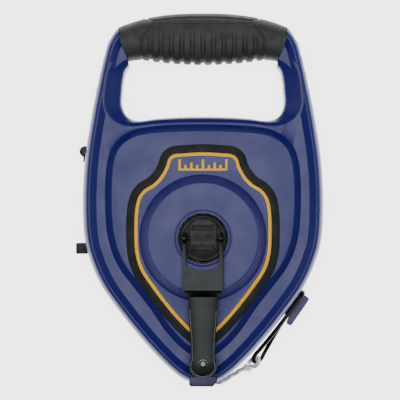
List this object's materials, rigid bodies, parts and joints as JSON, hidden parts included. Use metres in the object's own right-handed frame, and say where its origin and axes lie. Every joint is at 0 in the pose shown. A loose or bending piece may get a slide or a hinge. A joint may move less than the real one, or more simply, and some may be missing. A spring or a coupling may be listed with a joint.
{
  "type": "chalk line reel",
  "caption": "Hand reel for snapping chalk lines: teardrop case with a handle, geared folding crank, chalk door and a hooked line.",
  "frame": {"origin": "on the spool's axis, in the plane of the flat back panel that the reel lies on", "axes": "+Z out of the front face along the spool and crank axis, +Y towards the handle, +X to the right seen from the front"},
  "size_m": [0.1665, 0.2517, 0.0656],
  "materials": {
    "case_blue": "moulded ABS, semi-gloss, faintly speckled",
    "grip_rubber": "matt overmoulded rubber",
    "trim_yellow": "printed yellow, satin",
    "black_plastic": "satin moulded plastic",
    "white_plastic": "natural acetal",
    "black_steel": "black oxide sheet and wire",
    "steel": "zinc-plated steel",
    "felt": "pressed wool felt",
    "braided_line": "braided white cord with black tracer"
  },
  "bodies": {
    "case": {"front_shell": "case_blue", "back_shell": "case_blue", "grip_front": "grip_rubber", "grip_back": "grip_rubber", "trim_band": "grip_rubber", "trim_stripe": "trim_yellow", "tick_badge": "trim_yellow", "line_guide": "case_blue", "felt_wiper_front": "felt", "felt_wiper_back": "felt", "ring_gear": "white_plastic", "hook_catch": "case_blue", "spool_axle": "steel", "spool_washer": "steel", "door_hinge_pin": "steel", "hub_seal": "felt", "line_run": "braided_line", "line_free": "braided_line", "case_screw_1": "steel", "case_screw_2": "steel", "case_screw_3": "steel", "case_screw_4": "steel", "case_screw_5": "steel", "case_screw_6": "steel", "case_screw_7": "steel", "case_screw_8": "steel"},
    "crank": {"crank_hub": "black_plastic", "planet_carrier": "black_plastic", "crank_pivot_pin": "steel", "carrier_screw_1": "steel", "carrier_screw_2": "steel", "carrier_screw_3": "steel"},
    "planet_1": {"planet_gear_1": "black_plastic"},
    "planet_2": {"planet_gear_2": "black_plastic"},
    "planet_3": {"planet_gear_3": "black_plastic"},
    "spool": {"spool_core": "white_plastic", "spool_back_flange": "white_plastic", "spool_front_flange": "white_plastic", "sun_gear": "white_plastic", "line_winding": "braided_line"},
    "crank_arm": {"crank_arm": "black_steel", "knob_rivet": "steel"},
    "crank_knob": {"crank_knob": "black_plastic"},
    "fill_door": {"fill_door": "black_plastic", "door_seal": "grip_rubber"},
    "line_hook": {"line_hook": "black_steel", "line_knot": "braided_line", "line_loop": "braided_line"}
  },
  "joints": [
    {"name": "crank_spin", "type": "hinge", "parent": "case", "child": "crank", "pos_m": [0, 0, 0.058], "axis": [0, 0, 1], "continuous": true},
    {"name": "planet_1_spin", "type": "hinge", "parent": "crank", "child": "planet_1", "pos_m": [0, 0.01875, 0.04], "axis": [0, 0, 1], "continuous": true},
    {"name": "planet_2_spin", "type": "hinge", "parent": "crank", "child": "planet_2", "pos_m": [-0.01624, -0.00937, 0.04], "axis": [0, 0, 1], "continuous": true},
    {"name": "planet_3_spin", "type": "hinge", "parent": "crank", "child": "planet_3", "pos_m": [0.01624, -0.00937, 0.04], "axis": [0, 0, 1], "continuous": true},
    {"name": "spool_spin", "type": "hinge", "parent": "case", "child": "spool", "pos_m": [0, 0, 0.019], "axis": [0, 0, 1], "continuous": true},
    {"name": "crank_fold", "type": "hinge", "parent": "crank", "child": "crank_arm", "pos_m": [0, 0, 0.062], "axis": [-1, 0, 0], "range_deg": [0, 180]},
    {"name": "knob_spin", "type": "hinge", "parent": "crank_arm", "child": "crank_knob", "pos_m": [0, -0.083, 0.052], "axis": [0, 0, 1], "continuous": true},
    {"name": "door_swing", "type": "hinge", "parent": "case", "child": "fill_door", "pos_m": [-0.0795, 0.0581, 0.025], "axis": [0, 0, -1], "range_deg": [0, 100]},
    {"name": "hook_slide", "type": "slide", "parent": "case", "child": "line_hook", "axis": [0.5707, 0.8212, 0], "range_m": [0, 0.012]}
  ],
  "couplings": [
    {"joint": "spool_spin", "follows": "crank_spin", "ratio": 5},
    {"joint": "planet_1_spin", "follows": "crank_spin", "ratio": -2.6667},
    {"joint": "planet_2_spin", "follows": "crank_spin", "ratio": -2.6667},
    {"joint": "planet_3_spin", "follows": "crank_spin", "ratio": -2.6667}
  ]
}
